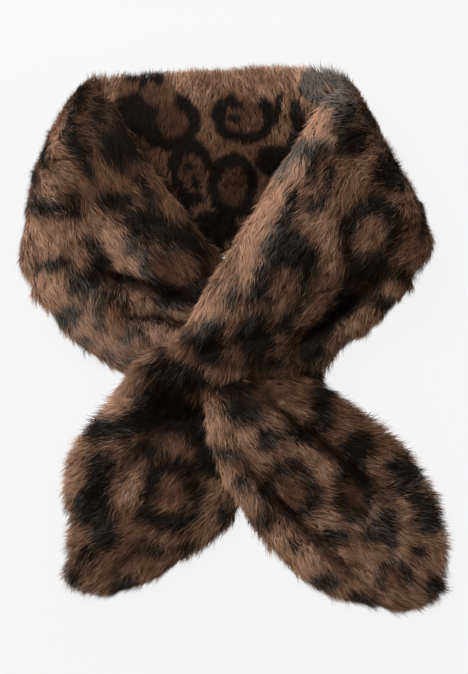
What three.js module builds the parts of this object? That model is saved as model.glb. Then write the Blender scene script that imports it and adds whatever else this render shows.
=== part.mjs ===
// A fur collar wrap laid flat: one long double-faced fur band, folded over at both sides of the neck,
// crossed in front, with its plain end drawn up through a slot in its other end.
// Millimetres, +Z up, the surface it lies on is z = 0, and -Y is towards the two tails.
import * as THREE from "three";

// Driving dimensions
const faceReach = 14; // backing and pile of one face, at the middle of the band
const edgeReach = 5.5; // the same along the sewn edges
const turnReach = 9.5; // the same where the band folds over
const tipReach = 9; // the same at the two ends
const strapReach = { neck: 8, outer: 5 }; // the same on the straps beside the slot
const seamGap = 0.3; // between the two faces, and between neighbouring stretches
const strapGap = 0.8; // between a strap and the band at its ends
const turnRadius = 18; // of the band's middle where it folds over
const turnSwell = { left: 5, right: -1 }; // how far a fold's middle stands out from its ends
const crown = 2.6; // exponent of the cross-section: higher is squarer
const slotEnds = { neck: -0.36, outer: 0.735 }; // across the band, from -1 at its neck edge to 1
const stepsPerSection = 2;
const acrossSteps = 10;
const furColour = 0x6b4a38;

// Each section of the band is a line from its neck edge to its outer edge.
// belly lifts the line's middle towards the outer face, and reach is one face's thickness there.
const columns = ["neckX", "neckY", "neckZ", "outX", "outY", "outZ", "belly", "reach"];

const slottedTail = [
  [-116, -177, 9, -88, -188, 9, 0, tipReach],
  [-120, -160, 10, -68, -181, 10, 0, 12],
  [-122, -140, 11, -46, -168, 11, 0, 13],
  [-125, -116, 11, -27, -156, 11, 0, faceReach],
  [-122, -92, 11, -9, -141, 11, 0, faceReach],
  [-112, -70, 11, 6, -120, 11, 0, faceReach],
  [-97, -53, 11, 20, -94, 11, 0, 12.5],
  [-82, -40, 12, 34, -67, 11, 0, 11],
];
const slot = [[-66, -24, 33, 63, -40, 17, 0, 11]];
const frontOver = [
  [-48, -8, 42, 66, -21, 35, 0, 12],
  [-32, 17, 51, 76, -10, 28, 2, 13],
  [-16, 43, 57, 88, -1, 18, 4, faceReach],
  [0, 70, 59, 100, 9, 17, 4, faceReach],
  [19, 98, 58, 113, 18, 24, 4, faceReach],
  [36, 128, 57, 124, 28, 31, 2, faceReach],
  [53, 154, 56, 131, 39, 37, 0, 11.5],
  [68, 174, 53, 132, 50, 41, 0, turnReach],
];
const backOfNeck = [
  [66, 193, 12, 120, 68, 12, 0, turnReach],
  [44, 194, 12, 92, 64, 12, 0, faceReach],
  [24, 194, 12, 58, 63, 12, 0, faceReach],
  [4, 194, 12, 20, 63, 12, 0, faceReach],
  [-16, 193, 12, -18, 63, 12, 0, faceReach],
  [-38, 192, 12, -56, 63, 12, 0, faceReach],
  [-62, 191, 12, -92, 65, 12, 0, faceReach],
  [-88, 190, 12, -126, 68, 12, 0, turnReach],
];
const frontUnder = [
  [-90, 172, 53, -147, 48, 39, 0, turnReach],
  [-77, 149, 55, -148, 35, 35, 0, 10.5],
  [-59, 122, 53, -139, 21, 29, 0, 13],
  [-42, 98, 50, -125, 6, 20, 0, faceReach],
  [-25, 78, 45, -109, -5, 14, 0, faceReach],
  [-9, 58, 36, -94, -14, 11, 0, faceReach],
  [8, 34, 22, -74, -21, 11, 0, 13],
  [27, 9, 13, -51, -25, 11, 0, 12.5],
];
const throughTail = [
  [43, -12, 15, -28, -29, 15, 0, 10],
  [42.5, -26, 24, -21, -38, 24, 0, 12],
  [50, -38, 34, -21, -50, 36, 0, 12.5],
  [74, -46, 30, -19, -70, 41, 2, 13],
  [96, -57, 18, -11, -97, 39, 3, faceReach],
  [116, -72, 12, 3, -121, 30, 2, faceReach],
  [133, -89, 11, 18, -141, 13, 0, faceReach],
  [145, -107, 11, 35, -160, 11, 0, faceReach],
  [153, -127, 11, 52, -177, 11, 0, faceReach],
  [156, -150, 11, 70, -189, 11, 0, faceReach],
  [155, -170, 10, 92, -197, 10, 0, 12],
  [149, -187, 9, 117, -200, 9, 0, tipReach],
];

// Creases pressed into the face that shows: across is the place from -1, the neck edge, to 1.
const creaseColumns = ["from", "to", "across", "turnsTo", "depth", "wide"];
const creases = {
  slottedTail: [[3, 6.8, -0.35, -0.1, 4, 0.18]],
  frontOver: [[0.2, 6.2, 0.5, 0.74, 5, 0.16]],
  backOfNeck: [[1, 4.5, 0.1, 0.3, 3, 0.2]],
  frontUnder: [
    [1.6, 5.5, 0.4, -0.05, 5.5, 0.16],
    [3.6, 7.2, 0.55, 0.3, 4, 0.14],
  ],
  throughTail: [
    [2, 8.6, -0.25, -0.55, 5, 0.17],
    [3.4, 10, 0.4, 0.55, 4.5, 0.16],
  ],
};

const named = (names, row) => Object.fromEntries(names.map((name, i) => [name, row[i]]));

// The sections between two that lie one above the other, rolled outwards round the fold between them.
function turnSections(first, second, swell) {
  const a = named(columns, first);
  const b = named(columns, second);
  const line = new THREE.Vector2(a.outX - a.neckX, a.outY - a.neckY).normalize();
  const outwards = a.neckX > 0 ? new THREE.Vector2(-line.y, line.x) : new THREE.Vector2(line.y, -line.x);
  return [0.25, 0.5, 0.75].map((part) => {
    const rolled = (1 - Math.cos(Math.PI * part)) / 2;
    const reachOut = turnRadius * Math.sin(Math.PI * part);
    const row = first.map((value, i) => THREE.MathUtils.lerp(value, second[i], rolled));
    for (const i of [0, 3]) {
      row[i] += outwards.x * reachOut;
      row[i + 1] += outwards.y * reachOut;
    }
    row[columns.indexOf("belly")] = swell * Math.sin(Math.PI * part);
    return row;
  });
}

const turnRight = turnSections(frontOver.at(-1), backOfNeck[0], turnSwell.right);
const turnLeft = turnSections(backOfNeck.at(-1), frontUnder[0], turnSwell.left);

// The whole band as smooth curves through its sections' ends, from the slotted tail's tip onwards.
const rows = [slottedTail, slot, frontOver, turnRight, backOfNeck, turnLeft, frontUnder, throughTail].flat();
const sections = rows.map((row) => named(columns, row));
const lastSection = sections.length - 1;
const curveThrough = (pick) => new THREE.CatmullRomCurve3(sections.map(pick), false, "centripetal");
const neckEdge = curveThrough((s) => new THREE.Vector3(s.neckX, s.neckY, s.neckZ));
const outerEdge = curveThrough((s) => new THREE.Vector3(s.outX, s.outY, s.outZ));

function between(along, column) {
  const before = Math.min(Math.floor(along), lastSection - 1);
  return THREE.MathUtils.lerp(sections[before][column], sections[before + 1][column], along - before);
}

function onLine(along, across) {
  const share = along / lastSection;
  return neckEdge.getPoint(share).lerp(outerEdge.getPoint(share), (across + 1) / 2);
}

function outwardsAt(along, across) {
  const small = 0.02;
  const ahead = onLine(Math.min(along + small, lastSection), across);
  const behind = onLine(Math.max(along - small, 0), across);
  const over = onLine(along, 1).sub(onLine(along, -1));
  return over.cross(ahead.sub(behind)).normalize();
}

function creaseDepth(list, along, across) {
  let depth = 0;
  for (const crease of list.map((row) => named(creaseColumns, row))) {
    const share = (along - crease.from) / (crease.to - crease.from);
    if (share <= 0 || share >= 1) continue;
    const away = (across - THREE.MathUtils.lerp(crease.across, crease.turnsTo, share)) / crease.wide;
    depth += crease.depth * Math.sin(Math.PI * share) * Math.exp(-away * away);
  }
  return depth;
}

// From the sewn edges' thickness up to the full reach at the middle.
function thicknessAt(reach, across) {
  const edge = Math.min(edgeReach, reach * 0.8);
  return edge + (reach - edge) * Math.sqrt(Math.max(0, 1 - Math.abs(across) ** crown));
}

// Closed solid between two grids of points, rows along the band and columns across it.
function closedBetween(outside, inside) {
  const count = outside.length;
  const width = outside[0].length;
  const at = (side, i, j) => side * count * width + i * width + j;
  const faces = [];
  const quad = (a, b, c, d) => faces.push(a, b, c, a, c, d);
  for (let i = 0; i < count - 1; i++) {
    for (let j = 0; j < width - 1; j++) {
      quad(at(0, i, j), at(0, i, j + 1), at(0, i + 1, j + 1), at(0, i + 1, j));
      quad(at(1, i, j), at(1, i + 1, j), at(1, i + 1, j + 1), at(1, i, j + 1));
    }
    quad(at(0, i, 0), at(0, i + 1, 0), at(1, i + 1, 0), at(1, i, 0));
    quad(at(0, i, width - 1), at(1, i, width - 1), at(1, i + 1, width - 1), at(0, i + 1, width - 1));
  }
  for (let j = 0; j < width - 1; j++) {
    quad(at(0, 0, j), at(1, 0, j), at(1, 0, j + 1), at(0, 0, j + 1));
    quad(at(0, count - 1, j), at(0, count - 1, j + 1), at(1, count - 1, j + 1), at(1, count - 1, j));
  }
  const positions = [...outside.flat(), ...inside.flat()].flatMap((point) => point.toArray());
  const geometry = new THREE.BufferGeometry();
  geometry.setAttribute("position", new THREE.Float32BufferAttribute(positions, 3));
  geometry.setIndex(faces);
  geometry.computeVertexNormals();
  return geometry;
}

// The points of a stretch's surface at one depth from the band's middle, none under the floor.
function grid(stretch, depthAt) {
  const steps = (stretch.to - stretch.from) * stepsPerSection;
  const trimAt = (along) => (stretch.gap ?? seamGap) / 2 / onLine(along, 0).distanceTo(onLine(along + 1, 0));
  const start = stretch.from + trimAt(stretch.from);
  const end = stretch.to - trimAt(stretch.to - 1);
  return Array.from({ length: steps + 1 }, (_, i) => {
    const along = THREE.MathUtils.lerp(start, end, i / steps);
    return Array.from({ length: stretch.columns + 1 }, (_, j) => {
      const local = (2 * j) / stretch.columns - 1;
      const across = THREE.MathUtils.mapLinear(local, -1, 1, stretch.neckSide, stretch.outerSide);
      const reach = stretch.reach ?? between(along, "reach");
      const lift = between(along, "belly") * (1 - across * across);
      const away = lift + depthAt(thicknessAt(reach, local), along - stretch.from, across);
      const point = onLine(along, across).addScaledVector(outwardsAt(along, across), away);
      return point.setZ(Math.max(point.z, 0));
    });
  });
}

const group = new THREE.Group();

function addMesh(name, geometry) {
  const material = new THREE.MeshStandardMaterial({ color: furColour, roughness: 0.9, metalness: 0 });
  const mesh = new THREE.Mesh(geometry, material);
  mesh.name = name;
  group.add(mesh);
}

// Two faces of fur, back to back. The inner one shows on the back of the neck, the outer one elsewhere.
function addFaces(name, stretch, creaseList = []) {
  const innerShows = name === "back_of_neck";
  const outerCreases = innerShows ? [] : creaseList;
  const innerCreases = innerShows ? creaseList : [];
  const whole = { ...stretch, neckSide: -1, outerSide: 1, columns: acrossSteps };
  const outerSkin = grid(whole, (t, along, across) => t - creaseDepth(outerCreases, along, across));
  const outerSeam = grid(whole, () => seamGap / 2);
  const innerSeam = grid(whole, () => -seamGap / 2);
  const innerSkin = grid(whole, (t, along, across) => creaseDepth(innerCreases, along, across) - t);
  addMesh(`${name}_outer`, closedBetween(outerSkin, outerSeam));
  addMesh(`${name}_inner`, closedBetween(innerSeam, innerSkin));
}

// A narrow stretch at one side of the slot, both faces in one solid.
function addStrap(name, stretch, neckSide, outerSide, reach) {
  const strap = { ...stretch, neckSide, outerSide, reach, columns: acrossSteps / 2, gap: strapGap };
  addMesh(name, closedBetween(grid(strap, (t) => t), grid(strap, (t) => -t)));
}

// The stretches in order, each from the section where the one before it ends.
const lipBelow = slottedTail.length - 1;
const lipAbove = lipBelow + slot.length + 1;
const rightTop = lipAbove + frontOver.length - 1;
const rightBelow = rightTop + turnRight.length + 1;
const leftBelow = rightBelow + backOfNeck.length - 1;
const leftTop = leftBelow + turnLeft.length + 1;
const slotEntry = leftTop + frontUnder.length;

addFaces("slotted_tail", { from: 0, to: lipBelow }, creases.slottedTail);
addStrap("slot_strap_neck", { from: lipBelow, to: lipAbove }, -1, slotEnds.neck, strapReach.neck);
addStrap("slot_strap_outer", { from: lipBelow, to: lipAbove }, slotEnds.outer, 1, strapReach.outer);
addFaces("front_over", { from: lipAbove, to: rightTop }, creases.frontOver);
addFaces("turn_right", { from: rightTop, to: rightBelow });
addFaces("back_of_neck", { from: rightBelow, to: leftBelow }, creases.backOfNeck);
addFaces("turn_left", { from: leftBelow, to: leftTop });
addFaces("front_under", { from: leftTop, to: slotEntry }, creases.frontUnder);
addFaces("through_tail", { from: slotEntry, to: lastSection }, creases.throughTail);

// The origin is under the middle of the whole shape.
const box = new THREE.Box3().setFromObject(group);
const centre = box.getCenter(new THREE.Vector3());
group.position.set(-centre.x, -centre.y, 0);

export default group;
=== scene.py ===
# A fur collar wrap laid flat: a double-faced band, folded at both sides and drawn through its own slot.
import math
import bpy
import numpy as np
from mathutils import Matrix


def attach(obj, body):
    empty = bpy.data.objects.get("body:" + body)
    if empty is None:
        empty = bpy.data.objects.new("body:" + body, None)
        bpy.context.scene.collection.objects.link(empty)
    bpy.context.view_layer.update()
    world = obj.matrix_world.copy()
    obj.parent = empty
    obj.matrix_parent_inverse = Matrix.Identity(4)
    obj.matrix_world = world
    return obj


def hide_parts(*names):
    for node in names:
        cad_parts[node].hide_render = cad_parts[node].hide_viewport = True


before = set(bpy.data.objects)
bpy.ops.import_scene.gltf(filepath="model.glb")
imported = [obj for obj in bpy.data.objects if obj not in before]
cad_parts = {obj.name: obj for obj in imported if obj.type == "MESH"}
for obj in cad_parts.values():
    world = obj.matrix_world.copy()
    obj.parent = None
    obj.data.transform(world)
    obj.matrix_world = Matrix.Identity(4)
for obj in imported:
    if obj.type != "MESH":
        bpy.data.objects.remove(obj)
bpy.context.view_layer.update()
mm = 0.001
random = np.random.default_rng(11)

# The band in millimetres, each row a line from its neck edge to its outer edge.
# Columns: neck edge x y z, outer edge x y z, lift of the line's middle, reach of one face's pile.
band = {
    "origin": (2.5, 1.27),  # the tables' zero in the frame
    "crown": 0.36,  # roundness of the cross-section
    "rightRadii": (18, 24), "leftRadii": (21.5, 15),  # of the two folds, at the neck edge and the outer edge
    "rightSwell": -1, "leftSwell": 9,  # how far the middle of a fold stands out
    "foldReach": 12.5,  # the least reach of the pile round a fold
    "foldStep": 16.5,  # how wide each row of a fold is when it is rolled out flat
    "nearby": 0.02,  # in rows, for the direction along the band
    "slottedTail": [
        (-116, -177, 9, -88, -188, 9, 0, 9),
        (-120, -160, 10, -68, -181, 10, 0, 12),
        (-122, -140, 11, -46, -168, 11, 0, 13),
        (-125, -116, 11, -27, -156, 11, 0, 14),
        (-122, -92, 11, -9, -141, 11, 0, 14),
        (-112, -70, 11, 6, -120, 11, 0, 14),
        (-97, -53, 11, 20, -94, 11, 0, 12.5),
        (-82, -40, 12, 34, -67, 11, 0, 11),
    ],
    "slot": [(-66, -24, 33, 63, -40, 17, 0, 11)],
    "frontOver": [
        (-48, -8, 42, 66, -21, 35, 0, 12),
        (-32, 17, 51, 76, -10, 28, 2, 13),
        (-16, 43, 57, 88, -1, 18, 4, 14),
        (0, 70, 59, 100, 9, 17, 4, 14),
        (19, 98, 58, 113, 18, 24, 4, 14),
        (36, 128, 57, 124, 28, 31, 2, 14),
        (53, 154, 56, 131, 39, 37, 0, 11.5),
        (68, 174, 53, 132, 50, 41, 0, 9.5),
    ],
    "backOfNeck": [
        (66, 193, 12, 120, 68, 12, 0, 9.5),
        (44, 194, 12, 92, 64, 12, 0, 14),
        (24, 194, 12, 58, 63, 12, 0, 14),
        (4, 194, 12, 20, 63, 12, 0, 14),
        (-16, 193, 12, -18, 63, 12, 0, 14),
        (-38, 192, 12, -56, 63, 12, 0, 14),
        (-62, 191, 12, -92, 65, 12, 0, 14),
        (-88, 190, 12, -126, 68, 12, 0, 9.5),
    ],
    "frontUnder": [
        (-90, 172, 53, -147, 48, 39, 0, 9.5),
        (-77, 149, 55, -148, 35, 35, 0, 10.5),
        (-59, 122, 53, -139, 21, 29, 0, 13),
        (-42, 98, 50, -125, 6, 20, 0, 14),
        (-25, 78, 45, -109, -5, 14, 0, 14),
        (-9, 58, 36, -94, -14, 11, 0, 14),
        (8, 34, 22, -74, -21, 11, 0, 13),
        (27, 9, 13, -51, -25, 11, 0, 12.5),
    ],
    "throughTail": [
        (43, -12, 15, -28, -29, 15, 0, 10),
        (42.5, -26, 24, -21, -38, 24, 0, 12),
        (50, -38, 34, -21, -50, 36, 0, 12.5),
        (74, -46, 30, -19, -70, 41, 2, 13),
        (96, -57, 18, -11, -97, 39, 3, 14),
        (116, -72, 12, 3, -121, 30, 2, 14),
        (133, -89, 11, 18, -141, 13, 0, 14),
        (145, -107, 11, 35, -160, 11, 0, 14),
        (153, -127, 11, 52, -177, 11, 0, 14),
        (156, -150, 11, 70, -189, 11, 0, 14),
        (155, -170, 10, 92, -197, 10, 0, 12),
        (149, -187, 9, 117, -200, 9, 0, 9),
    ],
}


def turnRows(first, second, swell, radii):  # a half round between two lines that lie one above the other
    first, second = np.array(first, float), np.array(second, float)
    line = (first[3:5] - first[0:2]) / np.linalg.norm(first[3:5] - first[0:2])
    outwards = np.array([-line[1], line[0]]) * (1 if first[0] > 0 else -1)
    made = []
    for part in (0.25, 0.5, 0.75):
        row = first + (second - first) * (1 - math.cos(math.pi * part)) / 2
        push = outwards * math.sin(math.pi * part)
        row[0:2] += push * radii[0]
        row[3:5] += push * radii[1]
        row[6] = swell * math.sin(math.pi * part)
        made.append(tuple(row))
    return made


turnRight = turnRows(band["frontOver"][-1], band["backOfNeck"][0], band["rightSwell"], band["rightRadii"])
turnLeft = turnRows(band["backOfNeck"][-1], band["frontUnder"][0], band["leftSwell"], band["leftRadii"])
rows = np.array(
    band["slottedTail"] + band["slot"] + band["frontOver"] + turnRight
    + band["backOfNeck"] + turnLeft + band["frontUnder"] + band["throughTail"]
)
rows[:, [0, 3]] += band["origin"][0]
rows[:, [1, 4]] += band["origin"][1]
lastRow = len(rows) - 1
lipBelow = len(band["slottedTail"]) - 1
lipAbove = lipBelow + len(band["slot"]) + 1
rightTop = lipAbove + len(band["frontOver"]) - 1
rightBelow = rightTop + len(turnRight) + 1
leftBelow = rightBelow + len(band["backOfNeck"]) - 1
leftTop = leftBelow + len(turnLeft) + 1
slotEntry = leftTop + len(band["frontUnder"])
for low, high in ((rightTop - 1, rightBelow + 1), (leftBelow - 1, leftTop + 1)):
    rows[low:high + 1, 7] = np.maximum(rows[low:high + 1, 7], band["foldReach"])


def curveThrough(points, at):  # a centripetal curve through the points, one step of at for each
    last = len(points) - 1
    before = np.clip(np.floor(at).astype(int), 0, last - 1)
    part = (at - before)[:, None]
    padded = np.vstack([2 * points[0] - points[1], points, 2 * points[-1] - points[-2]])
    a, b, c, d = (padded[before + k] for k in range(4))
    steps = [np.sqrt(np.linalg.norm(q - p, axis=1))[:, None] for p, q in ((a, b), (b, c), (c, d))]
    slopeB = ((b - a) / steps[0] - (c - a) / (steps[0] + steps[1]) + (c - b) / steps[1]) * steps[1]
    slopeC = ((c - b) / steps[1] - (d - b) / (steps[1] + steps[2]) + (d - c) / steps[2]) * steps[1]
    square, cube = part**2, part**3
    return (b * (2 * cube - 3 * square + 1) + slopeB * (cube - 2 * square + part)
            + c * (3 * square - 2 * cube) + slopeC * (cube - square))


def bandLine(along, across):
    neck = curveThrough(rows[:, 0:3], along)
    outer = curveThrough(rows[:, 3:6], along)
    return neck + (outer - neck) * ((across + 1) / 2)[:, None]


def unit(vectors):
    return vectors / np.maximum(np.linalg.norm(vectors, axis=-1, keepdims=True), 1e-9)


def bandOut(along, across):  # the way that the outer face points
    ahead = bandLine(np.minimum(along + band["nearby"], lastRow), across)
    behind = bandLine(np.maximum(along - band["nearby"], 0), across)
    over = bandLine(along, across * 0 + 1) - bandLine(along, across * 0 - 1)
    return unit(np.cross(over, ahead - behind))


def column(along, number):  # a column of the rows, between one row and the next
    return np.interp(along, np.arange(len(rows)), rows[:, number])


noiseSize, noiseShift = 128, 37.3  # cells each way, and where the plan's zero falls on them
noiseGrid = random.random((6, noiseSize, noiseSize))


def smoothNoise(places, size, layer):  # soft noise from -1 to 1 over a plane, size in millimetres
    at = places / size + noiseShift
    low = np.floor(at).astype(int)
    part = at - low
    part = part * part * (3 - 2 * part)
    x, y = low[:, 0] % noiseSize, low[:, 1] % noiseSize
    xNext, yNext = (x + 1) % noiseSize, (y + 1) % noiseSize
    grid = noiseGrid[layer]
    near = grid[x, y] * (1 - part[:, 0]) + grid[xNext, y] * part[:, 0]
    far = grid[x, yNext] * (1 - part[:, 0]) + grid[xNext, yNext] * part[:, 0]
    return 2 * (near * (1 - part[:, 1]) + far * part[:, 1]) - 1


# Each stretch of the band, from one row to another.
# nap is the lie of the hair at its start and end: along the band, and across it at the neck and outer sides.
# creases: from and to in rows from the start, place across at each, depth in millimetres, width across.
# out is how far the pile stands past the neck edge and the outer edge, at a share of the stretch's length.
stretches = {
    "slottedTail": {
        "nodes": ["slotted_tail_outer", "slotted_tail_inner"], "rows": (0, lipBelow), "tip": "start",
        "nap": ((-1, -0.8, 0.2), (-1, -0.7, 0.1)), "length": 10.5, "lift": 0.45,
        "out": [(0, 9, 4), (0.14, 4, 4), (0.29, -2.5, 3), (0.4, -1, 3), (0.52, 1.5, 3), (0.8, -4, 2),
                (1, 1, 2)],
        "creases": [(3, 6.8, -0.45, -0.2, 8, 0.14), (0.4, 3.2, 0.25, 0.45, 5, 0.16),
                    (5.4, 7.6, -0.7, 0.2, 6, 0.3)],
    },
    "strapNeck": {
        "nodes": ["slot_strap_neck"], "rows": (lipBelow, lipAbove), "sides": (-1, 0.06),
        "nap": ((-1, -0.2, 0.6), (-1, -0.1, 0.8)), "length": 12, "lift": 0.42, "reach": 10,
        "out": [(0, 6, 0), (0.5, 10, 0), (1, 8, 0)],
    },
    "strapOuter": {
        "nodes": ["slot_strap_outer"], "rows": (lipBelow, lipAbove), "sides": (0.68, 1),
        "nap": ((-1, -0.8, 0.3), (-1, -0.4, 0.3)), "length": 11, "lift": 0.42, "reach": 7,
        "out": [(0, 2, 2), (1, 2, 0)],
    },
    "frontOver": {
        "nodes": ["front_over_outer", "front_over_inner"], "rows": (lipAbove, rightTop),
        "nap": ((-1, 0.15, 0.0), (-1, 0.1, 0.0)), "length": 10.5, "lift": 0.44,
        "out": [(0, -1, 2), (0.14, -1, 2), (0.29, -1, 0), (0.43, -1, 4), (0.57, 0, -1), (0.71, 0, -3),
                (0.86, 0, 0), (1, 0, 4)],
        "creases": [(0.1, 6.4, 0.46, 0.72, 11, 0.11), (0.0, 1.6, -0.6, 0.1, 4, 0.2)],
    },
    "turnRight": {
        "nodes": ["turn_right_outer", "turn_right_inner"], "rows": (rightTop, rightBelow), "bothShow": True,
        "nap": ((-1, -0.2, 0.2), (0.3, -0.6, 0.3)), "length": 10, "lift": 0.5,
        "out": [(0, 0, 3), (0.5, 0, -3), (1, 6, -2)],
    },
    "backOfNeck": {
        "nodes": ["back_of_neck_outer", "back_of_neck_inner"], "rows": (rightBelow, leftBelow),
        "nap": ((0.1, -0.6, -0.3), (-0.1, -0.6, -0.3)), "length": 7.5, "lift": 0.88, "gather": 0.2,
        "innerShows": True,
        "out": [(0, 11, 0), (0.35, 7, 0), (0.5, 6, 0), (0.7, 8, 0), (1, 7, 0)],
        "creases": [(1, 4.5, 0.1, 0.3, 3, 0.2)],
    },
    "turnLeft": {
        "nodes": ["turn_left_outer", "turn_left_inner"], "rows": (leftBelow, leftTop), "bothShow": True,
        "nap": ((-0.2, -0.6, 0.3), (1, -0.1, 0.5)), "length": 10, "lift": 0.5,
        "out": [(0, 4, 0), (0.5, 2, -2), (1, 1, 9)],
    },
    "frontUnder": {
        "nodes": ["front_under_outer", "front_under_inner"], "rows": (leftTop, slotEntry),
        "nap": ((1, 0.1, 0.4), (1, -0.1, -0.1)), "length": 10.5, "lift": 0.44,
        "out": [(0, 0, 9), (0.1, 0, 3.5), (0.2, 0, -2), (0.29, 0, -2), (0.37, 0, 1), (0.57, 0, 4),
                (0.71, 0, 7), (1, 0, 10)],
        "creases": [(1.7, 5.2, 0.36, -0.3, 12, 0.1), (4.0, 6.6, 0.36, -0.25, 8, 0.09)],
    },
    "throughTail": {
        "nodes": ["through_tail_outer", "through_tail_inner"], "rows": (slotEntry, lastRow), "tip": "end",
        "nap": ((0.8, -1.0, 0.0), (1, -0.7, 0.0)), "length": 10.5, "lift": 0.45,
        "out": [(0, 13, 2), (0.18, 14, 0), (0.27, 6, 0), (0.36, -1, 0), (0.45, -2, 0), (0.64, -3, 1),
                (1, 6, 4)],
        "creases": [(1.0, 7.9, -0.08, -0.48, 14, 0.075), (3.2, 9.9, 0.7, 0.47, 13, 0.06)],
    },
}
hair = {
    "count": 455000, "most": 98000,  # over the whole band, and on one stretch
    "width": 0.28, "widthSpread": 0.3,
    "lengthSpread": 0.28, "sideShorter": 0.4,
    "besideCrease": 2.8, "creaseShorter": 0.45, "parting": 1.3,  # how far past a crease, and what is done
    "fullCrease": 12,  # millimetres deep, where the two before it work in full
    "creaseShadeDepth": 11, "creaseShadeMost": 0.88,  # the crease depth at which the painted shade in a crease is darkest, and how dark
    "wander": 26, "wanderSize": 20,  # degrees, and millimetres, of the slow changes in its lie
    "slowLength": 0.15, "slowSize": 10,  # the slow changes in its length
    "liftSpread": 0.08, "leastLift": 0.12, "sideLift": 0.3,
    "tipLift": 0.45, "tipLie": 0.8, "lie": 1.1,  # how it bends over from root to tip
    "rooted": 1.0,  # millimetres of it that are under the skin
    "middlePull": 0.35, "tipPull": 0.65, "sidePull": 0.7,  # how far it goes to the middle of its lock
    "floor": 0.25,
    "lockSize": 4.8, "lockTurn": 18, "lockLift": 0.1, "lockTone": 0.26, "gather": 0.36,
    "stray": 11,
    "roll": 40,
    "droop": 0.2,
    "smooth": 0.6,  # how far its shading follows the skin
    "hiddenShare": 0.12, "edgeShare": 0.7,  # how dense it is out of sight, and at the outline
    # painted light: the pile is made paler, and its black hairs greyer, where it turns sideways at the
    # outline
    "outlineLight": 0.35,
}
skin = {
    "share": 0.62,  # of the reach of the pile
    "step": 4.0, "around": 60,
    "lump": 2.1, "lumpSize": 19, "smallLumpSize": 9, "sideApart": 50,  # the last parts the two faces
    "ripple": 1.6, "rippleSize": 13, "rippleScale": (21, 9),
    "tipRound": 9.5, "tipRings": (0.3, 0.55, 0.78, 0.93), "floor": 1.2,
}


# Where the spots are read: the plan, rolled out flat at the two folds.
def patternPlaces(along, across, points):
    places = points[:, :2].copy()
    for top, sign in ((rightTop, 1), (leftTop, -1)):
        low, high = (top, top + 4) if sign > 0 else (top - 4, top)
        rolled = (along > low) & (along < high)
        if rolled.any():
            seam = bandLine(np.full(rolled.sum(), float(top)), across[rolled])
            turned = np.abs(along[rolled] - top)
            line = unit(rows[top, 3:5] - rows[top, 0:2])
            outwards = np.array([-line[1], line[0]]) * sign
            places[rolled] = seam[:, :2] + outwards * (turned * band["foldStep"])[:, None]
    return places


# How deep a crease is, how near one is, and which way the hair parts.
def creasesAt(stretch, along, across, side):
    shows = -1 if stretch.get("innerShows") else 1
    start = stretch["rows"][0]
    deep, near, parting = np.zeros((3, *along.shape))
    for begin, end, first, second, depth, wide in stretch.get("creases", []):
        part = np.clip((along - start - begin) / (end - begin), 0, 1)
        away = (across - first - (second - first) * part) / wide
        strength = (side == shows) * np.abs(np.sin(math.pi * part)) ** 0.6
        beside = strength * np.exp(-((away / hair["besideCrease"]) ** 2))
        deep += strength * depth * np.exp(-(away**2))
        near += beside * depth / hair["fullCrease"]
        parting += beside * np.tanh(2 * away) * depth / hair["fullCrease"]
    return deep, near, parting


def surfacePoints(stretch, along, around):  # around starts at the neck edge
    neckSide, outerSide = stretch.get("sides", (-1, 1))
    local = -np.cos(around)
    across = neckSide + (outerSide - neckSide) * (local + 1) / 2
    outwards = bandOut(along, across)
    middle = bandLine(along, across) + outwards * (column(along, 6) * (1 - across**2))[:, None]
    over = unit(bandLine(along, across * 0 + 1) - bandLine(along, across * 0 - 1))
    part = (along - stretch["rows"][0]) / (stretch["rows"][1] - stretch["rows"][0])
    at, neck, outer = zip(*stretch["out"])
    neck, outer = np.interp(part, at, neck), np.interp(part, at, outer)
    push = outer * np.clip(across, 0, 1) ** 2 - neck * np.clip(-across, 0, 1) ** 2
    alongScale, acrossScale = skin["rippleScale"]
    rippleAt = np.stack([along * alongScale, across * acrossScale], axis=1)
    ripple = skin["ripple"] * smoothNoise(rippleAt, skin["rippleSize"], 5)
    middle += over * (push + ripple * across * np.abs(across))[:, None]
    reach = stretch.get("reach") or column(along, 7)
    side = np.where(np.sin(around) >= 0, 1.0, -1.0)
    height = skin["share"] * reach * np.abs(np.sin(around)) ** (2 * band["crown"])
    height -= creasesAt(stretch, along, across, side)[0]
    lumps = smoothNoise(middle[:, :2] + skin["sideApart"] * side[:, None], skin["lumpSize"], 0)
    lumps = lumps + 0.5 * smoothNoise(middle[:, :2], skin["smallLumpSize"], 1)
    height += skin["lump"] * lumps * np.abs(np.sin(around))
    points = middle + outwards * (side * height)[:, None]
    points[:, 2] = np.maximum(points[:, 2], skin["floor"])
    return points, across, side


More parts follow.
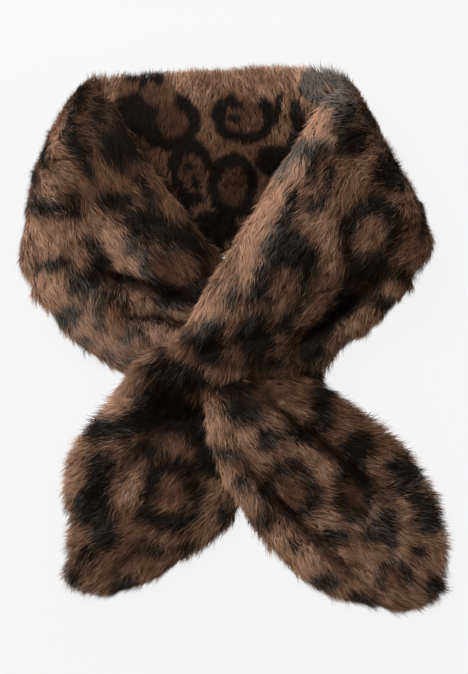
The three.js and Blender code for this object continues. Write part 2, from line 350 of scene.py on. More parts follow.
def stretchGrid(stretch):
    first, last = stretch["rows"]
    at, middle = np.arange(first, last + 1.0), np.zeros(last - first + 1)
    ends = bandLine(at, middle) + bandOut(at, middle) * column(at, 6)[:, None]
    length = np.linalg.norm(np.diff(ends, axis=0), axis=1).sum()
    count = max(6, round(length / skin["step"]))
    alongs = np.linspace(first + 0.01, last - 0.01, count + 1)
    arounds = np.linspace(0, 2 * math.pi, skin["around"], endpoint=False)
    along, around = (x.ravel() for x in np.meshgrid(alongs, arounds, indexing="ij"))
    points, across, side = surfacePoints(stretch, along, around)
    shape = (count + 1, skin["around"])
    grid = {"points": points.reshape(*shape, 3), "along": along.reshape(shape),
            "across": across.reshape(shape), "side": side.reshape(shape)}
    if stretch.get("tip"):  # the band's own end is rounded off past its last line
        atEnd = stretch["tip"] == "end"
        edge = grid["points"][-1 if atEnd else 0]
        inside = grid["points"][-3 if atEnd else 2]
        middle = edge.mean(axis=0)
        onward = unit(middle - inside.mean(axis=0))
        caps = []
        wide = unit(edge[skin["around"] // 2] - edge[0])
        for part in skin["tipRings"]:
            turn = part * math.pi / 2
            over = ((edge - middle) @ wide)[:, None] * wide
            ring = middle + over * math.cos(turn) ** 0.5 + (edge - middle - over) * math.cos(turn)
            ring += onward * skin["tipRound"] * math.sin(turn)
            ring[:, 2] = np.maximum(ring[:, 2], skin["floor"])
            caps.append(ring)
        stack = np.array(caps if atEnd else caps[::-1])
        for name in ("points", "along", "across", "side"):
            rim = grid[name][-1 if atEnd else 0]
            extra = stack if name == "points" else np.repeat(rim[None], len(caps), axis=0)
            grid[name] = np.concatenate([grid[name], extra] if atEnd else [extra, grid[name]])
    grid["length"] = length
    return finishGrid(stretch, grid)


def finishGrid(stretch, grid):  # the surface's directions, and the lie of the hair on it
    points = grid["points"]
    over = np.roll(points, -1, axis=1) - np.roll(points, 1, axis=1)
    run = np.gradient(points, axis=0)
    normal = unit(np.cross(over, run))
    side = np.sign(-np.sin(np.linspace(0, 2 * math.pi, points.shape[1], endpoint=False) - math.pi))
    toOuter = unit(over) * np.where(side == 0, 1, side)[None, :, None]
    toEnd = unit(run)
    first, last = stretch["rows"]
    part = np.clip((grid["along"] - first) / (last - first), 0, 1)[..., None]
    start, end = (np.array(x, float) for x in stretch["nap"])
    lie = start + (end - start) * part
    share = ((grid["across"] + 1) / 2)[..., None]
    grid["deep"], grid["near"], parting = creasesAt(stretch, grid["along"], grid["across"], grid["side"])
    across = lie[..., 1:2] * (1 - share) + lie[..., 2:3] * share + hair["parting"] * parting[..., None]
    grid["normal"] = normal
    grid["nap"] = unit(toEnd * lie[..., 0:1] + toOuter * across)
    flat = grid["along"].ravel(), grid["across"].ravel(), points.reshape(-1, 3)
    grid["places"] = patternPlaces(*flat).reshape(*points.shape[:2], 2)
    return grid


# The spots, and a few black patches of painted shadow, in millimetres in the same plan: x, y, half sizes,
# tilt in degrees, and how much of a ring it is.
# A ring of 0 is a solid spot, and otherwise the width of its stroke. open is the bearing of the ring's gap.
spotColumns = ("x", "y", "halfX", "halfY", "tilt", "ring", "open")
spotsAndShadows = {
    # These rows put black where the pile lies in shade, as painted shadow: in back, (-81, 170) in the recess
    # beside the left fold and (-14, 83) at the bottom of the V; in left, (-80, 171) in the same recess. In
    # back, (-70, 168) is partly a real dark patch and partly painted shadow.
    "back": [
        (-44, 163, 16, 17, 0, 9, 112), (11, 167, 20, 16, 0, 9, 80), (4, 176, 5, 4, 0, 0, 0),
        (4, 165, 5, 3, 0, 0, 0), (37, 174, 3.5, 12, -8, 0, 0), (51, 166, 5, 14, 5, 0, 0),
        (-29, 125, 14, 20, 5, 9, 330),
        (-31, 130, 4, 4, 0, 0, 0), (-26, 118, 3, 4, 0, 0, 0), (2, 115, 15, 20, -5, 9, None),
        (33, 134, 14, 12, 0, 0, 0), (-14, 83, 20, 12, 0, 0, 0), (-74, 197, 5, 4, 0, 0, 0),
        (-81, 170, 8, 13, 0, 0, 0), (-61, 156, 6, 12, 18, 0, 0), (50, 145, 8, 12, 0, 0, 0),
        (-66, 195, 3, 9, 0, 0, 0), (-53, 197, 3, 6, 0, 0, 0), (-20, 70, 16, 9, 0, 0, 0),
        (-55, 108, 10, 14, 20, 0, 0), (22, 88, 12, 12, 0, 0, 0), (-60, 198, 6, 4, 0, 0, 0),
        (68, 191, 16, 15, 0, 0, 0), (-70, 168, 9, 17, 8, 0, 0), (-38, 92, 10, 12, 0, 0, 0),
    ],
    "left": [
        (-133, 98, 22, 7, -3, 0, 0), (-118, 103, 8, 9, 0, 0, 0), (-88, 106, 14, 9, 0, 0, 0),
        (-57, 85, 28, 11, -18, 0, 0), (-74, 74, 8, 10, 0, 0, 0), (-43, 56, 23, 19, -20, 9, 130),
        (-49, 66, 5, 4, 0, 0, 0), (-100, 67, 8, 19, 28, 0, 0), (-84, 48, 15, 4, -28, 0, 0),
        (-131, 61, 15, 6, -8, 0, 0), (-110, 45, 12, 12, 30, 0, 0), (-122, 20, 14, 8, 18, 0, 0),
        (-87, 18, 12, 17, 15, 7, 235), (-110, -1, 5, 6, 0, 0, 0), (-93, -11, 5, 6, 0, 0, 0),
        (-113, 176, 7, 9, 0, 0, 0), (-96, 184, 4, 14, -5, 0, 0), (-111, 144, 6.5, 28, 20, 0, 0),
        (-136, 135, 5, 13, 32, 0, 0), (-86, 144, 10, 17, 10, 0, 0), (-80, 171, 10, 14, 0, 0, 0),
        (-66, 118, 5, 14, 38, 0, 0), (-39, 33, 20, 8, 10, 0, 0), (-144, 118, 5, 8, 0, 0, 0),
        (-66, 6, 4, 8, 30, 0, 0), (-52, 14, 12, 3, -30, 0, 0), (-74, -14, 10, 5, 0, 0, 0),
        (-100, 166, 5, 10, -20, 0, 0), (-70, 146, 8, 16, 30, 0, 0),
        (-60, 104, 6, 9, 30, 0, 0), (-28, 76, 8, 20, 38, 0, 0),
    ],
    "right": [
        (86, 185, 21, 8, 27, 0, 0), (112, 196, 24, 12, 27, 0, 0), (86, 168, 10, 16, -20, 0, 0),
        (92, 146, 13, 10, 0, 0, 0),
        (61, 143, 17, 8, 5, 0, 0), (72, 111, 18, 5, 54, 0, 0), (62, 127, 4, 10, 0, 0, 0),
        (77, 126, 5, 9, 0, 0, 0), (42, 131, 5, 11, -30, 0, 0), (35, 76, 9, 17, -28, 0, 0),
        (23, 47, 6, 22, -24, 0, 0),
        (107, 160, 6, 9, 30, 0, 0), (122, 121, 18, 12, -40, 0, 0), (105, 79, 18, 22, -10, 13, None),
        (100, 50, 17, 10, 15, 0, 0), (47, 100, 8, 18, -14, 0, 0), (53, 66, 13, 19, 35, 0, 0),
        (42, 42, 15, 21, 0, 9, 262), (20, 6, 15, 17, 0, 0, 0), (-10, 10, 6, 12, 0, 0, 0),
        (72, 13, 33, 7, 48, 0, 0), (88, 32, 9, 8, 20, 0, 0), (146, 84, 5, 13, 0, 0, 0),
        (-3, -26, 26, 10, 0, 0, 0), (30, -15, 20, 5, 0, 0, 0), (128, 52, 6, 8, 30, 0, 0),
        (-28, 4, 8, 7, 20, 0, 0), (3, 36, 6, 9, -20, 0, 0), (60, -8, 12, 8, 0, 0, 0),
        (62, -24, 9, 7, 0, 0, 0),
        (-16, -6, 9, 22, 8, 0, 0), (116, 30, 7, 9, 40, 0, 0), (44, 14, 6, 12, 20, 0, 0),
    ],
    "leftTail": [
        (-90, -67, 19, 10, 0, 0, 0), (-45, -50, 28, 17, -22, 0, 0), (-97, -100, 11, 19, 0, 0, 0),
        (-104, -123, 14, 16, 0, 0, 0), (-92, -140, 11, 20, 12, 0, 0), (-104, -161, 12, 6, 35, 0, 0),
        (-42, -114, 19, 22, 0, 12, None), (-61, -132, 8, 7, 0, 0, 0), (-27, -129, 8, 6, 0, 0, 0),
        (-55, -156, 7, 5, 0, 0, 0), (-34, -155, 9, 5, 10, 0, 0),
        (-117, -180, 6, 8, 0, 0, 0), (-78, -184, 10, 9, 0, 0, 0), (-3, -129, 6, 9, 0, 0, 0),
        (-14, -88, 9, 12, 20, 0, 0), (-34, -93, 15, 6, -15, 0, 0), (-60, -82, 10, 5, 0, 0, 0),
        (-38, -24, 24, 12, -20, 0, 0),
        (-68, -62, 12, 10, 0, 0, 0), (-22, -66, 16, 10, -30, 0, 0),
    ],
    "rightTail": [
        (65, -55, 10, 17, 10, 0, 0), (50, -69, 14, 6, -20, 0, 0), (10, -52, 15, 10, -15, 0, 0),
        (66, -38, 10, 9, 0, 0, 0),
        (27, -71, 9, 8, 0, 0, 0), (-5, -81, 10, 6, 0, 0, 0), (93, -81, 12, 15, 20, 0, 0),
        (128, -99, 17, 12, -35, 0, 0), (140, -122, 17, 9, -30, 0, 0), (148, -139, 13, 9, 0, 0, 0),
        (90, -116, 12, 17, 10, 9, None), (116, -141, 10, 16, 5, 0, 0), (103, -145, 8, 9, 0, 0, 0),
        (43, -112, 17, 20, 10, 9, 232), (76, -148, 12, 8, 0, 0, 0), (26, -134, 8, 8, 0, 0, 0),
        (121, -176, 12, 11, 0, 7, 270), (152, -186, 9, 10, 0, 0, 0), (70, -180, 12, 8, -20, 0, 0),
        (98, -195, 10, 6, 0, 0, 0), (48, -152, 7, 6, -30, 0, 0), (0, -34, 16, 8, 0, 0, 0),
        (8, -104, 6, 6, 0, 0, 0), (140, -160, 5, 7, 0, 0, 0),
    ],
    "hidden": [
        (0, 0, 17, 20, 10, 8, 200), (44, 12, 15, 16, 0, 8, 40), (22, -38, 16, 13, 20, 0, 0),
        (-30, -34, 18, 15, 0, 8, 300), (-40, 26, 13, 16, 30, 0, 0), (12, 42, 14, 10, -20, 0, 0),
        (58, -24, 12, 18, 15, 8, 120), (0, -48, 8, 7, 0, 0, 0), (-56, -4, 8, 10, 0, 0, 0),
    ],
}
# Where the tan is paler or darker than the rest, and the black greyer: real pale, dark and smoky patches,
# painted shade in the recess behind the neck, beside the left fold and where the tails run under the
# crossing, and painted light on the rims that face the lamp. Columns: x, y, half sizes, tilt, and how much.
tintsAndShading = {
    "back": [(-68, 160, 22, 40, 0, -0.5), (0, 197, 70, 7, 0, -0.05), (-5, 120, 72, 54, 0, -0.6),
             (-52, 162, 16, 34, 20, -0.35), (-76, 184, 28, 18, 0, -0.45),
             (68, 191, 15, 15, 0, 1.4)],
    "left": [(-143, 66, 13, 55, -8, 0.4), (-92, 160, 42, 58, 10, -0.85), (-22, 74, 12, 46, 38, -0.7),
             (-104, 8, 46, 20, -40, 1.0),
             (-52, 12, 18, 14, 0, 0.6), (-78, 62, 10, 30, 35, 0.6), (-46, 52, 18, 14, -20, -0.2),
             (-40, -6, 14, 10, 0, 0.7), (-126, 154, 10, 20, -20, 1.2)],
    "right": [(34, 104, 9, 80, -23, 0.8), (85, 185, 25, 12, 27, 1.3), (112, 197, 26, 13, 27, 0.95),
              (64, 160, 12, 14, 0, 1.0),
              (96, 128, 30, 30, 40, -0.3),
              (142, 75, 14, 42, -8, -0.5), (-18, 18, 11, 18, -20, 0.8), (72, 84, 8, 24, 10, 0.3),
              (20, -8, 60, 20, 0, -0.5), (95, 20, 8, 36, -45, 0.15), (95, 60, 36, 46, -35, -0.35),
              (105, 79, 13, 17, -10, 0.6), (42, 131, 6, 12, -30, 0.5),
              (30, -26, 64, 12, -4, -0.8)],
    "leftTail": [(-121, -94, 11, 36, 0, 0.5), (-84, -42, 20, 14, 20, 0.8), (-75, -104, 10, 16, 0, 0.3),
                 (-62, -118, 60, 60, 0, -0.22),
                 (-30, -80, 34, 16, -30, -0.4), (-36, -44, 34, 12, -30, -0.6),
                 (-70, -160, 44, 22, 10, -0.15)],
    "rightTail": [(-14, -70, 10, 24, 0, 0.5), (8, -116, 22, 10, -40, 0.5), (50, -160, 30, 8, -40, 0.3),
                  (90, -116, 10, 14, 10, -0.7), (110, -70, 40, 14, -35, -0.3),
                  (44, -54, 16, 12, -30, -0.15),
                  (6, -38, 34, 10, 0, -0.6), (30, -34, 60, 10, -4, -0.8), (44, -50, 20, 9, -10, 0.1),
                  (86, -124, 90, 70, -40, 0.12),
                  (92, -88, 46, 12, -38, -0.25)],
    "hidden": [],
}
spotGroups = {"slottedTail": "leftTail", "strapNeck": "leftTail", "strapOuter": "right",
              "frontOver": "right",
              "turnRight": "right", "backOfNeck": "back", "turnLeft": "left", "frontUnder": "left",
              "throughTail": "rightTail"}
mottle = [(0.2, 11, 1), (0.14, 5.5, 2)]  # how much, its size in millimetres, and the layer of noise
spotEdge = {
    "wander": 2.8, "wanderSize": 12, "fray": 1.6, "fraySize": 4, "soft": 4.8, "grow": 1.0, "blur": 2.6,
}
crispEdge = {  # behind the neck, where the pile is short
    "wander": 1.6, "wanderSize": 9, "fray": 0.9, "fraySize": 3, "soft": 1.8, "grow": 0.3, "blur": 0.6,
}
ringShape = {"gapHalf": 20, "gapSoft": 14, "heart": 0.95, "heartSoft": 4}  # degrees, share, millimetres
tintAndShadingEdge = {"wander": 4, "wanderSize": 14, "reach": 1.5}
repeat = {"size": (128, 112), "corner": (56, 62), "shift": 80}  # of the hidden chart


def tintAndShadingAt(group, places):
    wander = np.stack([smoothNoise(places, tintAndShadingEdge["wanderSize"], k) for k in (4, 5)], axis=1)
    moved = places + tintAndShadingEdge["wander"] * wander
    total = np.zeros(len(places))
    for x, y, halfX, halfY, tilt, amount in tintsAndShading[group]:
        offset = moved - (x, y)
        turn = math.radians(tilt)
        over = (offset[:, 0] * math.cos(turn) + offset[:, 1] * math.sin(turn)) / halfX
        up = (offset[:, 1] * math.cos(turn) - offset[:, 0] * math.sin(turn)) / halfY
        total += amount * np.clip(tintAndShadingEdge["reach"] - np.hypot(over, up), 0, 1)
    return total


def spotMask(group, places):  # how black the pile is, from the spots and from the patches of painted shadow, and how deep inside a ring it lies
    edge = crispEdge if group == "back" else spotEdge
    wander = np.stack([smoothNoise(places, edge["wanderSize"], k) for k in (2, 3)], axis=1)
    fray = np.stack([smoothNoise(places, edge["fraySize"], k) for k in (4, 5)], axis=1)
    moved = places + wander * edge["wander"] + fray * edge["fray"]
    if group == "hidden":  # the repeat of the cloth where no chart is needed
        moved = (moved + repeat["shift"]) % repeat["size"] - repeat["corner"]
    black = np.zeros(len(places))
    heart = np.zeros(len(places))
    for row in spotsAndShadows[group]:
        spotAndShadow = dict(zip(spotColumns, row))
        offset = moved - (spotAndShadow["x"], spotAndShadow["y"])
        tilt = math.radians(spotAndShadow["tilt"])
        x = (offset[:, 0] * math.cos(tilt) + offset[:, 1] * math.sin(tilt)) / spotAndShadow["halfX"]
        y = (offset[:, 1] * math.cos(tilt) - offset[:, 0] * math.sin(tilt)) / spotAndShadow["halfY"]
        away = np.hypot(x, y)
        size = (spotAndShadow["halfX"] + spotAndShadow["halfY"]) / 2
        if spotAndShadow["ring"]:
            inside = (spotAndShadow["ring"] / 2 + edge["grow"] - np.abs(away - 1) * size) / edge["soft"] + 0.5
            if spotAndShadow["open"] is not None:
                bearing = np.degrees(np.arctan2(y, x)) - spotAndShadow["open"]
                gap = np.abs((bearing + 180) % 360 - 180)
                inside = np.minimum(inside, (gap - ringShape["gapHalf"]) / ringShape["gapSoft"])
            within = (ringShape["heart"] - away) * size / ringShape["heartSoft"]
            heart = np.maximum(heart, np.clip(within, 0, 1))
        else:
            inside = ((1 - away) * size + edge["grow"]) / edge["soft"] + 0.5
        black = np.maximum(black, np.clip(inside, 0, 1))
    return black, heart


class Value:  # a shader socket that Python's arithmetic works on
    def __init__(self, look, socket):
        self.look = look
        self.socket = socket

    def maths(self, operation, first, second, clamp=False):
        settings = {"operation": operation, "use_clamp": clamp}
        return self.look.add("ShaderNodeMath", settings, {0: first, 1: second})

    def __add__(self, other):
        return self.maths("ADD", self, other)

    def __radd__(self, other):
        return self.maths("ADD", other, self)

    def __sub__(self, other):
        return self.maths("SUBTRACT", self, other)

    def __rsub__(self, other):
        return self.maths("SUBTRACT", other, self)

    def __mul__(self, other):
        return self.maths("MULTIPLY", self, other)

    def __rmul__(self, other):
        return self.maths("MULTIPLY", other, self)

    def held(self):  # kept from 0 to 1
        return self.maths("ADD", self, 0, clamp=True)


class Look:  # a material in the making
    def __init__(self, name, **surface):
        self.material = bpy.data.materials.new(name)
        self.material.use_nodes = True
        self.tree = self.material.node_tree
        self.shader = self.tree.nodes["Principled BSDF"]
        for key, value in surface.items():
            self.shader.inputs[key.replace("_", " ")].default_value = value

    def add(self, kind, settings=None, inputs=None, output=0):
        node = self.tree.nodes.new(kind)
        for key, value in (settings or {}).items():
            setattr(node, key, value)
        for key, value in (inputs or {}).items():
            self.join(value, node.inputs[key])
        return Value(self, node.outputs[output])

    def join(self, value, socket):
        if isinstance(value, Value):
            self.tree.links.new(value.socket, socket)
        else:
            socket.default_value = value

    def attribute(self, name):
        return self.add("ShaderNodeAttribute", {"attribute_name": name}, output="Fac")

    def blend(self, first, second, factor):
        return self.add("ShaderNodeMix", {"data_type": "RGBA"}, {0: factor, 6: first, 7: second}, output=2)

    def noise(self, scale, detail=2.0):
        place = self.add("ShaderNodeTexCoord", output="Object")
        return self.add("ShaderNodeTexNoise", inputs={"Vector": place, "Scale": scale, "Detail": detail})

    def finish(self, **links):
        for key, value in links.items():
            self.join(value, self.shader.inputs[key.replace("_", " ")])
        return self.material


# Colours are linear.
pileColours = {
    "tanTip": (0.60, 0.345, 0.222, 1),
    "tanMiddle": (0.17, 0.082, 0.044, 1),
    "heartTip": (0.36, 0.180, 0.106, 1),
    "heartMiddle": (0.095, 0.042, 0.023, 1),
    # tanRoot and blackRoot are painted shade: the pile is darkened towards its roots, deep in the pile where
    # shade falls; the cloth under the pile is coloured from them too
    "tanRoot": (0.014, 0.0065, 0.004, 1),
    "blackTip": (0.0095, 0.0064, 0.0048, 1),
    "blackSheen": (0.205, 0.174, 0.152, 1),
    "blackRoot": (0.0034, 0.0024, 0.0018, 1),
    # painted shade: the near-black colour that the pile darkens to in the creases
    "creaseShade": (0.005, 0.003, 0.0025, 1),
}


def pileMaterial():
    look = Look("spotted pile", Roughness=0.6, Specular_IOR_Level=0.08)
    tip, tone, spotAndShadow, heart, tintAndShading, creaseShade = (
        look.attribute(x) for x in ("tip", "tone", "spotAndShadow", "heart", "tintAndShading", "creaseShade"))
    patches = look.noise(45.0)
    # the tint patches pale or darken the tan and grey the black: real patches, and painted light and shade
    bright = (tip * 0.5 + tone * 0.95 + patches * 0.5 + tintAndShading - 0.78).held()
    tan = look.blend(pileColours["tanMiddle"], pileColours["tanTip"], bright)
    warm = look.blend(pileColours["heartMiddle"], pileColours["heartTip"], bright)
    brown = look.blend(tan, warm, heart * 0.9)
    # painted shade deep in the pile: the tan and the black darken towards the root
    rooted = look.blend(pileColours["tanRoot"], brown, (tip * 1.7 + tintAndShading * 0.5 + 0.05).held())
    sheen = (tip * 0.6 + tone * 1.05 + tintAndShading * 0.9 - 1.05).held()
    black = look.blend(pileColours["blackTip"], pileColours["blackSheen"], sheen)
    blackRooted = look.blend(pileColours["blackRoot"], black, (tip * 1.6 + 0.05).held())
    spotted = look.blend(rooted, blackRooted, spotAndShadow)
    # painted shade in the creases: the pile darkens towards a near-black colour, more where the crease is
    # deeper
    return look.finish(Base_Color=look.blend(spotted, pileColours["creaseShade"], creaseShade))


def clothMaterial():
    look = Look("under pile", Roughness=0.8, Specular_IOR_Level=0.1)
    spotAndShadow, heart = look.attribute("spotAndShadow"), look.attribute("heart")
    fine = look.noise(900.0, 3.0)
    tan = look.blend(pileColours["tanRoot"], pileColours["heartMiddle"], (fine * 1.2 - 0.3).held())
    warm = look.blend(pileColours["tanRoot"], tan, 1 - heart * 0.5)
    black = look.blend(pileColours["blackRoot"], pileColours["blackTip"], fine)
    bump = look.add("ShaderNodeBump", inputs={"Height": fine, "Distance": 0.0006, "Strength": 0.6})
    return look.finish(Base_Color=look.blend(warm, black, spotAndShadow), Normal=bump)


pile = pileMaterial()
cloth = clothMaterial()


def addMesh(name, points, faces, corners, material):  # faces holds how many corners each face has
    mesh = bpy.data.meshes.new(name)
    mesh.vertices.add(len(points))
    mesh.vertices.foreach_set("co", np.ascontiguousarray(points, np.float32).ravel())
    mesh.loops.add(len(corners))
    mesh.loops.foreach_set("vertex_index", np.ascontiguousarray(corners, np.int32))
    mesh.polygons.add(len(faces))
    starts = np.concatenate([[0], np.cumsum(faces)[:-1]])
    mesh.polygons.foreach_set("loop_start", starts.astype(np.int32))
    mesh.polygons.foreach_set("use_smooth", np.ones(len(faces), bool))
    mesh.materials.append(material)
    mesh.update(calc_edges=True)
    piece = bpy.data.objects.new(name, mesh)
    bpy.context.scene.collection.objects.link(piece)
    return piece


def addAttribute(piece, name, values):
    made = piece.data.attributes.new(name, "FLOAT", "POINT")
    made.data.foreach_set("value", np.ascontiguousarray(values, np.float32))


def maskOn(name, stretch, side, places):  # the chart where the face shows, the repeat elsewhere
    shows = -1 if stretch.get("innerShows") else 1
    chart = (*spotMask(spotGroups[name], places), tintAndShadingAt(spotGroups[name], places))
    repeated = (*spotMask("hidden", places), np.zeros(len(places)))
    onShow = (side * shows > 0) | stretch.get("bothShow", False)
    black, heart, tintAndShading = (np.where(onShow, a, b) for a, b in zip(chart, repeated))
    mottled = sum(amount * smoothNoise(places, size, layer) for amount, size, layer in mottle)
    return black, heart, tintAndShading + mottled


def clothPiece(name, stretch, grid):
    count, around = grid["points"].shape[:2]
    points = grid["points"].reshape(-1, 3)
    index = np.arange(count * around).reshape(count, around)
    beside = np.roll(index, -1, axis=1)
    quads = np.stack([index[:-1], beside[:-1], beside[1:], index[1:]], axis=-1).reshape(-1, 4)
    ends = [points[index[0]].mean(axis=0), points[index[-1]].mean(axis=0)]
    first, last = len(points), len(points) + 1
    caps = np.concatenate([
        np.stack([beside[0], index[0], np.full(around, first)], axis=1),
        np.stack([index[-1], beside[-1], np.full(around, last)], axis=1),
    ])
    faces = np.concatenate([np.full(len(quads), 4), np.full(len(caps), 3)])
    corners = np.concatenate([quads.ravel(), caps.ravel()])
    piece = addMesh(f"{name}Cloth", np.vstack([points, ends]) * mm, faces, corners, cloth)
    black, heart, _ = maskOn(name, stretch, grid["side"].ravel(), grid["places"].reshape(-1, 2))
    addAttribute(piece, "spotAndShadow", np.append(black, [0, 0]))
    addAttribute(piece, "heart", np.append(heart, [0, 0]))
    return piece


def locksOf(places):  # the middle of each hair's lock, and three numbers that the lock's hairs share
    cell = np.floor(places / hair["lockSize"]).astype(int)
    best = np.full(len(places), np.inf)
    middle = np.zeros((len(places), 3))
    shared = np.zeros((len(places), 3))
    for step in np.ndindex(3, 3, 3):
        x, y, z = ((cell + step - 1) % lockCells).T
        candidate = (cell + step - 1 + lockPlaces[x, y, z, :3]) * hair["lockSize"]
        away = np.linalg.norm(candidate - places, axis=1)
        nearer = away < best
        best[nearer] = away[nearer]
        middle[nearer] = candidate[nearer]
        shared[nearer] = lockPlaces[x, y, z, 3:][nearer]
    return middle, shared


lockCells = 64
lockPlaces = random.random((lockCells, lockCells, lockCells, 6))


plan = {"cell": 3.0, "cells": (160, 180), "corner": (240, 270), "slack": 6}  # millimetres


def seenFromAbove(grids):  # for each grid, 1 where nothing lies over it
    across, down = plan["cells"]
    top = np.full(plan["cells"], -1.0)
    marks = {}
    for name, grid in grids.items():
        moved = (grid["points"][..., :2] + plan["corner"]) / plan["cell"]
        x = np.clip(moved[..., 0].astype(int), 0, across - 1)
        y = np.clip(moved[..., 1].astype(int), 0, down - 1)
        np.maximum.at(top, (x, y), grid["points"][..., 2])
        marks[name] = (x, y)
    return {n: (grids[n]["points"][..., 2] > top[marks[n]] - plan["slack"]).astype(float) for n in grids}


def weightsOf(grid, seen):  # how many hairs each cell of the skin takes
    sideways = 1 - np.abs(grid["normal"][..., 2])
    weight = np.maximum(seen, hair["hiddenShare"])
    weight = np.maximum(weight, hair["edgeShare"] * np.clip(sideways * 2 - 0.4, 0, 1))
    points = grid["points"]
    over = np.roll(points, -1, axis=1) - points
    run = points[1:] - points[:-1]
    area = np.linalg.norm(np.cross(over[:-1], run), axis=2)
    return area * (weight[:-1] + weight[1:]) / 2


def hairPiece(name, stretch, grid, weight, count):
    share = weight.ravel() / weight.sum()
    chosen = np.searchsorted(np.cumsum(share), (np.arange(count) + random.random(count)) / count)
    chosen = np.minimum(chosen, len(share) - 1)
    rowsOf, columnsOf = np.divmod(chosen, weight.shape[1])
    u, v = random.random(count)[:, None], random.random(count)[:, None]
    nextColumn = (columnsOf + 1) % weight.shape[1]

    def spread(values):
        low = values[rowsOf, columnsOf] * (1 - v) + values[rowsOf, nextColumn] * v
        high = values[rowsOf + 1, columnsOf] * (1 - v) + values[rowsOf + 1, nextColumn] * v
        return low * (1 - u) + high * u

    root, normal, nap = (spread(grid[x]) for x in ("points", "normal", "nap"))
    places = spread(grid["places"])
    # the painted shade in the creases is read from the crease depth under each root
    creaseShade, near = (spread(grid[x][..., None])[:, 0] for x in ("deep", "near"))
    side = grid["side"][rowsOf, columnsOf]
    normal = unit(normal)
    nap = unit(nap - normal * (nap * normal).sum(axis=1)[:, None])
    flat = root[:, :2] + 60 * side[:, None]
    lockMiddle, shared = locksOf(root)
    shared = 2 * shared - 1
    turn = (hair["wander"] * smoothNoise(flat, hair["wanderSize"], 0) + hair["lockTurn"] * shared[:, 0]
            + hair["stray"] * random.standard_normal(count))
    turn = np.radians(turn)[:, None]
    nap = nap * np.cos(turn) + np.cross(normal, nap) * np.sin(turn)
    lift = (stretch["lift"] + hair["lockLift"] * shared[:, 1]
            + hair["liftSpread"] * random.standard_normal(count))
    sideways = np.clip(1.2 - np.abs(normal[:, 2]) * 1.6, 0, 1)
    lift = np.clip(lift * (1 - hair["sideLift"] * sideways), hair["leastLift"], 1)[:, None]
    length = stretch["length"] * (1 + hair["lengthSpread"] * random.standard_normal(count).clip(-2, 1.5))
    slow = smoothNoise(flat, hair["slowSize"], 3)
    length = length * (1 + hair["slowLength"] * slow) * (1 - hair["sideShorter"] * sideways)
    length = length * (1 - hair["creaseShorter"] * np.clip(near, 0, 1))
    length = length[:, None]
    first = unit(normal * lift + nap * (1 - lift) * hair["lie"])
    second = normal * lift * hair["tipLift"] + nap * (hair["lie"] - lift * hair["tipLie"])
    second = unit(second - (0, 0, hair["droop"]))
    start = root - normal * hair["rooted"]
    pull = lockMiddle - root
    pull -= normal * (pull * normal).sum(axis=1)[:, None]
    pull *= stretch.get("gather", hair["gather"]) * (1 - hair["sidePull"] * sideways[:, None])
    bend = start + first * length * 0.5 + pull * hair["middlePull"]
    tip = bend + second * length * 0.5 + pull * hair["tipPull"]
    roll = np.radians(hair["roll"] * random.standard_normal(count).clip(-2, 2))[:, None]
    flatwise = unit(np.cross(second, normal))
    flatwise = unit(flatwise * np.cos(roll) + np.cross(second, flatwise) * np.sin(roll))
    width = hair["width"] / 2 * (1 + hair["widthSpread"] * random.standard_normal(count).clip(-2, 2))[:,
                                                                                                      None]
    points = np.stack([start, bend - flatwise * width, bend + flatwise * width, tip], axis=1)
    points[..., 2] = np.maximum(points[..., 2], hair["floor"])
    base = 4 * np.arange(count)[:, None]
    corners = (base + (0, 2, 1, 1, 2, 3)).ravel()
    piece = addMesh(f"{name}Hair", points.reshape(-1, 3) * mm, np.full(2 * count, 3), corners, pile)
    facing = np.cross(flatwise, second)
    facing *= np.where((facing * normal).sum(axis=1) < 0, -1, 1)[:, None]
    shading = unit(normal * hair["smooth"] + facing * (1 - hair["smooth"]))
    piece.data.normals_split_custom_set_from_vertices(np.repeat(shading, 4, axis=0))
    blur = (crispEdge if stretch.get("innerShows") else spotEdge)["blur"]
    places = places + 0.6 * (bend - root)[:, :2] + blur * random.standard_normal((count, 2))
    black, heart, tintAndShading = maskOn(name, stretch, side, places)
    # painted light at the outline: the sideways pile is made paler, and its black hairs greyer
    tintAndShading += hair["outlineLight"] * sideways
    tone = np.clip(random.random(count) + hair["lockTone"] * shared[:, 2], 0, 1)
    values = {"spotAndShadow": black, "heart": heart, "tintAndShading": tintAndShading, "tone": tone,
              "creaseShade": np.clip(creaseShade / hair["creaseShadeDepth"], 0, hair["creaseShadeMost"])}
    for key, value in values.items():
        addAttribute(piece, key, np.repeat(value, 4))
    addAttribute(piece, "tip", np.tile([0, 0.5, 0.5, 1], count))
    layOut(piece, count)
    return piece


def layOut(piece, count):  # a small cell of its own on the map for each hair
    across = math.ceil(math.sqrt(count * 1.5))
    down = math.ceil(count / across)
    low = np.stack([np.arange(count) % across, np.arange(count) // across], axis=1)[:, None, :]
    inCell = np.array([(0.5, 0.06), (0.12, 0.5), (0.88, 0.5), (0.5, 0.94)])
    places = (low + inCell) / (across, down)
    layer = piece.data.uv_layers.new(name="OFBake")
    layer.uv.foreach_set("vector", places[:, [0, 2, 1, 1, 2, 3]].astype(np.float32).ravel())


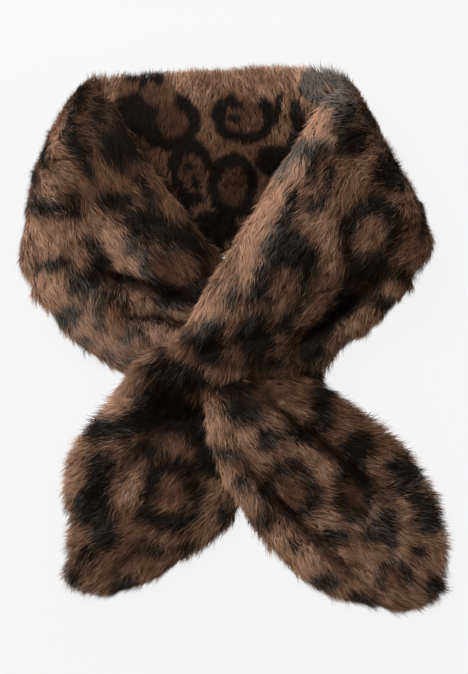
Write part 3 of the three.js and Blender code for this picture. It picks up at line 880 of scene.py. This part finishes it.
grids = {name: stretchGrid(stretch) for name, stretch in stretches.items()}
print("band laid out in", len(grids), "stretches")
seen = seenFromAbove(grids)
weights = {name: weightsOf(grid, seen[name]) for name, grid in grids.items()}
total = sum(w.sum() for w in weights.values())
for name, stretch in stretches.items():
    grid = grids[name]
    made = clothPiece(name, stretch, grid)
    count = min(int(hair["count"] * weights[name].sum() / total), hair["most"])
    fur = hairPiece(name, stretch, grid, weights[name], count)
    wide = np.linalg.norm(grid["points"][:, skin["around"] // 2] - grid["points"][:, 0], axis=1)
    for piece in (made, fur):
        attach(piece, "root")
    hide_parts(*stretch["nodes"])
    flat = (float(wide.max()) * mm, grid["length"] * mm)
    area = float(wide.mean()) * grid["length"] * mm * mm
    print(name, "cloth", len(made.data.polygons), "faces, hairs", count)


# The pale floor, the light and the camera.
stage = {"floor": (0.05, 0.05, 0.05, 1), "glow": 0.87, "size": 14.0, "room": 0.13, "aim": (0.0, 0.0, 0.03)}
bpy.ops.mesh.primitive_plane_add(size=stage["size"], location=(0, 0, 0))
floor = bpy.context.object
floor.name = "paleFloor"
floor.visible_diffuse = False
floorLook = Look("pale floor", Roughness=0.9, Base_Color=stage["floor"], Emission_Color=(1, 1, 1, 1),
                 Emission_Strength=stage["glow"], Specular_IOR_Level=0.0)
floor.data.materials.append(floorLook.finish())

lamps = {
    "key": {"place": (-0.75, 0.95, 1.35), "size": 0.7, "power": 31},
    "fill": {"place": (0.9, -0.5, 1.3), "size": 1.2, "power": 5},
    "rim": {"place": (0.3, 1.2, 0.5), "size": 0.7, "power": 6},
    "low": {"place": (-1.1, -0.5, 0.8), "size": 1.0, "power": 4},
}
for name, lamp in lamps.items():
    made = bpy.data.lights.new(name, "AREA")
    made.energy = lamp["power"]
    made.size = lamp["size"]
    light = bpy.data.objects.new(name, made)
    bpy.context.scene.collection.objects.link(light)
    light.location = lamp["place"]
    aim = np.array(stage["aim"]) - lamp["place"]
    tilt = math.acos(-aim[2] / np.linalg.norm(aim))
    light.rotation_euler = (tilt, 0, math.atan2(aim[1], aim[0]) - math.pi / 2)
world = bpy.context.scene.world or bpy.data.worlds.new("room")
bpy.context.scene.world = world
world.use_nodes = True
background = world.node_tree.nodes["Background"]
background.inputs["Color"].default_value = (1, 1, 1, 1)
background.inputs["Strength"].default_value = stage["room"]

view = {"lens": 135, "tall": 0.5055, "centre": (0.0029, 0.0024), "level": 0.03, "sensor": 36}
camera = bpy.data.objects.new("camera", bpy.data.cameras.new("camera"))
bpy.context.scene.collection.objects.link(camera)
camera.data.lens = view["lens"]
camera.data.sensor_width = view["sensor"]
camera.location = (*view["centre"], view["level"] + view["tall"] * view["lens"] / view["sensor"])
bpy.context.scene.camera = camera
bpy.context.scene.view_settings.view_transform = "Standard"
print("stage set")
